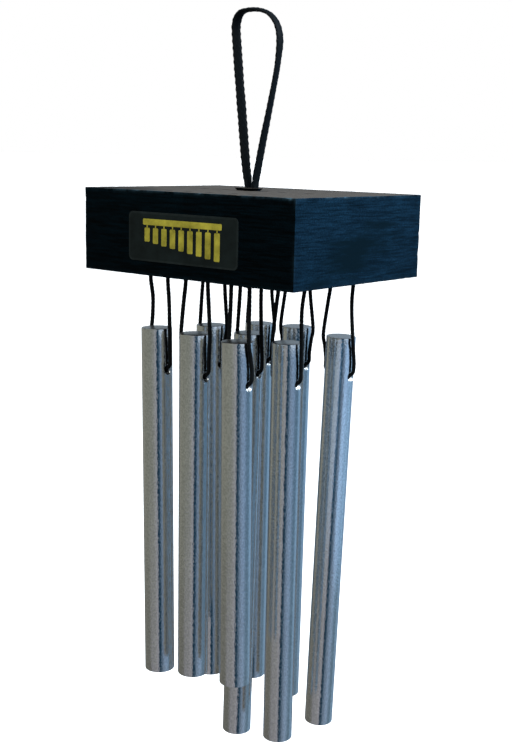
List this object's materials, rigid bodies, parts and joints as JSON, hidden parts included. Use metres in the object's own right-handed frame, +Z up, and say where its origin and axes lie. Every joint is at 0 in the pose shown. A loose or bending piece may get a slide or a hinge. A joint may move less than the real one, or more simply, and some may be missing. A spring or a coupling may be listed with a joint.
{
  "type": "wind chime",
  "caption": "Hanging block wind chime: solid metal bars hung on paired cord strands in a square grid under a painted wooden block, on a cord loop.",
  "frame": {"origin": "the point where a hook bears under the top of the hanging loop", "axes": "+Z up, +X along the block's long side to the right as seen from the label's side, -Y out of the face with the label"},
  "size_m": [0.105, 0.0793, 0.2979],
  "materials": {
    "painted_wood": "satin paint, grain showing through",
    "label": "printed film, satin",
    "loop_cord": "braided, matte",
    "bar_cord": "braided, matte",
    "bar_metal": "drawn, fine brushed"
  },
  "bodies": {
    "loop": {"hanging_loop": "loop_cord"},
    "loop_tail": {"loop_knot": "loop_cord"},
    "block": {"block": "painted_wood", "label": "label", "cord_ends_front_left": "bar_cord", "cord_ends_front_centre": "bar_cord", "cord_ends_front_right": "bar_cord", "cord_ends_middle_left": "bar_cord", "cord_ends_middle_centre": "bar_cord", "cord_ends_middle_right": "bar_cord", "cord_ends_back_left": "bar_cord", "cord_ends_back_centre": "bar_cord", "cord_ends_back_right": "bar_cord"},
    "cord_front_left": {"cord_front_left": "bar_cord"},
    "bar_front_left": {"bar_front_left": "bar_metal"},
    "cord_front_centre": {"cord_front_centre": "bar_cord"},
    "bar_front_centre": {"bar_front_centre": "bar_metal"},
    "cord_front_right": {"cord_front_right": "bar_cord"},
    "bar_front_right": {"bar_front_right": "bar_metal"},
    "cord_middle_left": {"cord_middle_left": "bar_cord"},
    "bar_middle_left": {"bar_middle_left": "bar_metal"},
    "cord_middle_centre": {"cord_middle_centre": "bar_cord"},
    "bar_middle_centre": {"bar_middle_centre": "bar_metal"},
    "cord_middle_right": {"cord_middle_right": "bar_cord"},
    "bar_middle_right": {"bar_middle_right": "bar_metal"},
    "cord_back_left": {"cord_back_left": "bar_cord"},
    "bar_back_left": {"bar_back_left": "bar_metal"},
    "cord_back_centre": {"cord_back_centre": "bar_cord"},
    "bar_back_centre": {"bar_back_centre": "bar_metal"},
    "cord_back_right": {"cord_back_right": "bar_cord"},
    "bar_back_right": {"bar_back_right": "bar_metal"}
  },
  "joints": [
    {"name": "block_rock", "type": "hinge", "parent": "loop", "child": "loop_tail", "pos_m": [0, 0, -0.0665], "axis": [1, 0, 0], "range_deg": [-12, 12]},
    {"name": "block_turn", "type": "hinge", "parent": "loop_tail", "child": "block", "pos_m": [0, 0, -0.0665], "axis": [0, 0, 1], "range_deg": [-90, 90]},
    {"name": "swing_front_left", "type": "hinge", "parent": "block", "child": "cord_front_left", "pos_m": [-0.02101, -0.031, -0.0985], "axis": [1, 0, 0], "range_deg": [-25, 5.5]},
    {"name": "tip_front_left", "type": "hinge", "parent": "cord_front_left", "child": "bar_front_left", "pos_m": [-0.02071, -0.031, -0.13505], "axis": [0.9998, 0, 0.0192], "range_deg": [-25, 6.5]},
    {"name": "swing_front_centre", "type": "hinge", "parent": "block", "child": "cord_front_centre", "pos_m": [-0.00061, -0.031, -0.0985], "axis": [1, 0, 0], "range_deg": [-25, 5.5]},
    {"name": "tip_front_centre", "type": "hinge", "parent": "cord_front_centre", "child": "bar_front_centre", "pos_m": [-0.00053, -0.031, -0.13505], "axis": [1, 0, 0.0052], "range_deg": [-25, 6.5]},
    {"name": "swing_front_right", "type": "hinge", "parent": "block", "child": "cord_front_right", "pos_m": [0.0205, -0.031, -0.0985], "axis": [1, 0, 0], "range_deg": [-25, 5.5]},
    {"name": "tip_front_right", "type": "hinge", "parent": "cord_front_right", "child": "bar_front_right", "pos_m": [0.02072, -0.031, -0.13555], "axis": [0.9999, 0, 0.014], "range_deg": [-25, 6.5]},
    {"name": "swing_middle_left", "type": "hinge", "parent": "block", "child": "cord_middle_left", "pos_m": [-0.0205, 0, -0.0985], "axis": [1, 0, 0], "range_deg": [-5.5, 5.5]},
    {"name": "tip_middle_left", "type": "hinge", "parent": "cord_middle_left", "child": "bar_middle_left", "pos_m": [-0.02024, 0, -0.13705], "axis": [0.9999, 0, 0.0166], "range_deg": [-6.5, 6.5]},
    {"name": "swing_middle_centre", "type": "hinge", "parent": "block", "child": "cord_middle_centre", "pos_m": [0, 0, -0.0985], "axis": [1, 0, 0], "range_deg": [-5.5, 5.5]},
    {"name": "tip_middle_centre", "type": "hinge", "parent": "cord_middle_centre", "child": "bar_middle_centre", "pos_m": [-0.00023, 0, -0.13805], "axis": [0.9999, 0, -0.0148], "range_deg": [-6.5, 6.5]},
    {"name": "swing_middle_right", "type": "hinge", "parent": "block", "child": "cord_middle_right", "pos_m": [0.01947, 0, -0.0985], "axis": [1, 0, 0], "range_deg": [-5.5, 5.5]},
    {"name": "tip_middle_right", "type": "hinge", "parent": "cord_middle_right", "child": "bar_middle_right", "pos_m": [0.0195, 0, -0.13955], "axis": [1, 0, 0.0017], "range_deg": [-6.5, 6.5]},
    {"name": "swing_back_left", "type": "hinge", "parent": "block", "child": "cord_back_left", "pos_m": [-0.0205, 0.031, -0.0985], "axis": [1, 0, 0], "range_deg": [-5.5, 25]},
    {"name": "tip_back_left", "type": "hinge", "parent": "cord_back_left", "child": "bar_back_left", "pos_m": [-0.0205, 0.031, -0.13955], "axis": [1, 0, 0], "range_deg": [-6.5, 25]},
    {"name": "swing_back_centre", "type": "hinge", "parent": "block", "child": "cord_back_centre", "pos_m": [0, 0.031, -0.0985], "axis": [1, 0, 0], "range_deg": [-5.5, 25]},
    {"name": "tip_back_centre", "type": "hinge", "parent": "cord_back_centre", "child": "bar_back_centre", "pos_m": [-0.00008, 0.031, -0.13855], "axis": [1, 0, -0.0052], "range_deg": [-6.5, 25]},
    {"name": "swing_back_right", "type": "hinge", "parent": "block", "child": "cord_back_right", "pos_m": [0.02296, 0.031, -0.0985], "axis": [1, 0, 0], "range_deg": [-5.5, 25]},
    {"name": "tip_back_right", "type": "hinge", "parent": "cord_back_right", "child": "bar_back_right", "pos_m": [0.02251, 0.031, -0.14004], "axis": [0.9996, 0, -0.0288], "range_deg": [-6.5, 25]}
  ]
}
